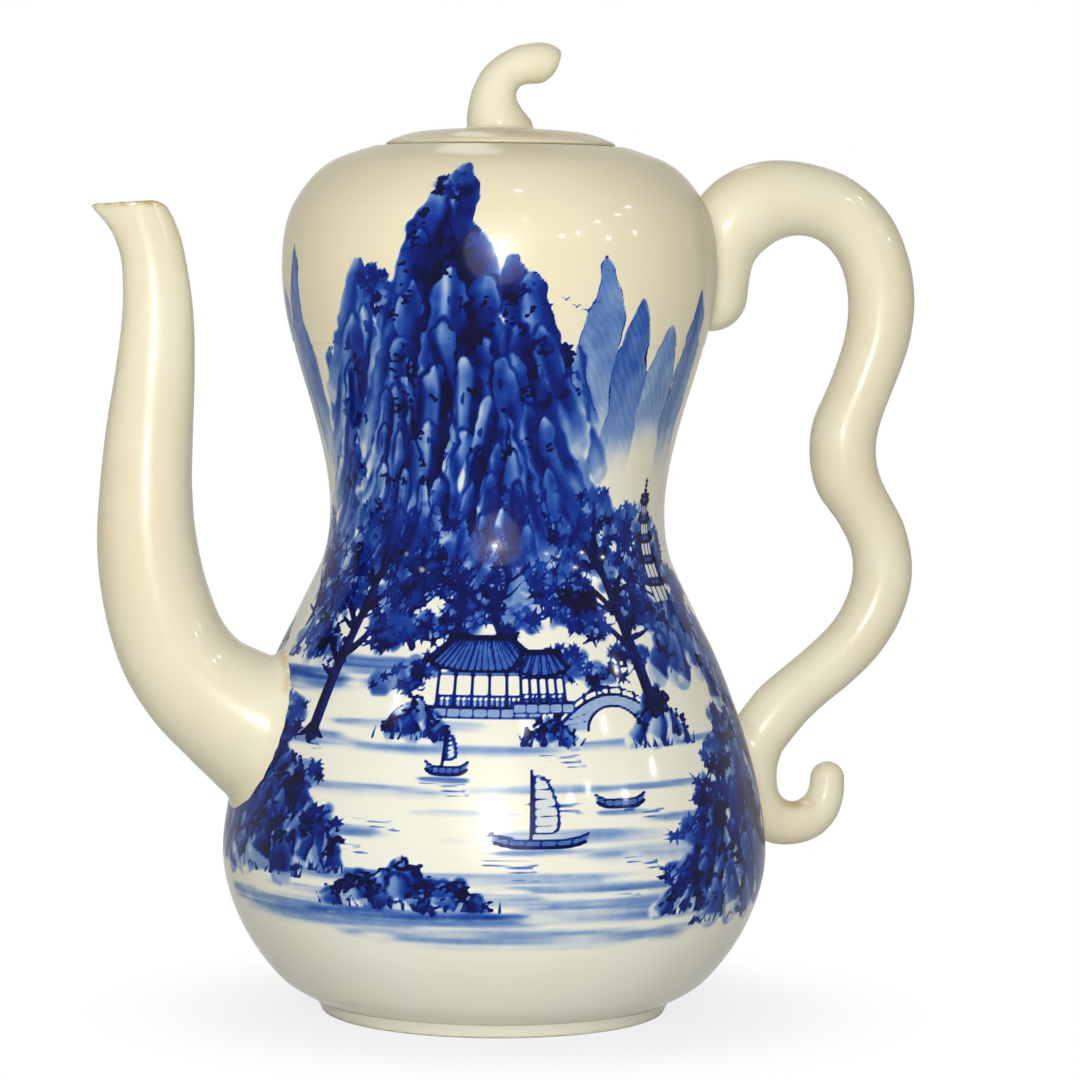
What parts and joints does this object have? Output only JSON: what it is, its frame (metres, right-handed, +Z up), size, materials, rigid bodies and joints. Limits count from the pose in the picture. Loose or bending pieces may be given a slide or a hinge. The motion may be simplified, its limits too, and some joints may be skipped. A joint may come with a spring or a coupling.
{
  "type": "wine pot",
  "caption": "Double-gourd porcelain wine pot with a swan-neck spout, an S-shaped handle that ends in a curl, and a lift-off lid with a stalk knob.",
  "frame": {"origin": "on the table under the middle of the pot's overall width; the pot's own axis is 3.2 mm to -X of it", "axes": "+Z up along the pot's axis, -X towards the spout, +X towards the handle, +Y the side away from the painted front"},
  "size_m": [0.191, 0.123, 0.219],
  "materials": {
    "painted_glaze": "clear glossy glaze over cobalt brushwork on white porcelain",
    "ivory_glaze": "clear glossy glaze over ivory-toned porcelain",
    "bare_clay": "white porcelain, thinly glazed outside and bare where it stands"
  },
  "bodies": {
    "pot": {"foot_ring": "bare_clay", "lower_bowl": "painted_glaze", "lower_shoulder": "painted_glaze", "upper_bowl": "painted_glaze", "upper_shoulder": "painted_glaze", "lid_seat": "ivory_glaze", "spout": "ivory_glaze", "handle": "ivory_glaze", "handle_tail": "ivory_glaze"},
    "lid": {"lid_disc": "ivory_glaze", "lid_collar": "ivory_glaze", "lid_stalk": "ivory_glaze"}
  },
  "joints": [
    {"name": "lid_lift", "type": "slide", "parent": "pot", "child": "lid", "axis": [0, 0, 1], "range_m": [0, 0.07]}
  ]
}
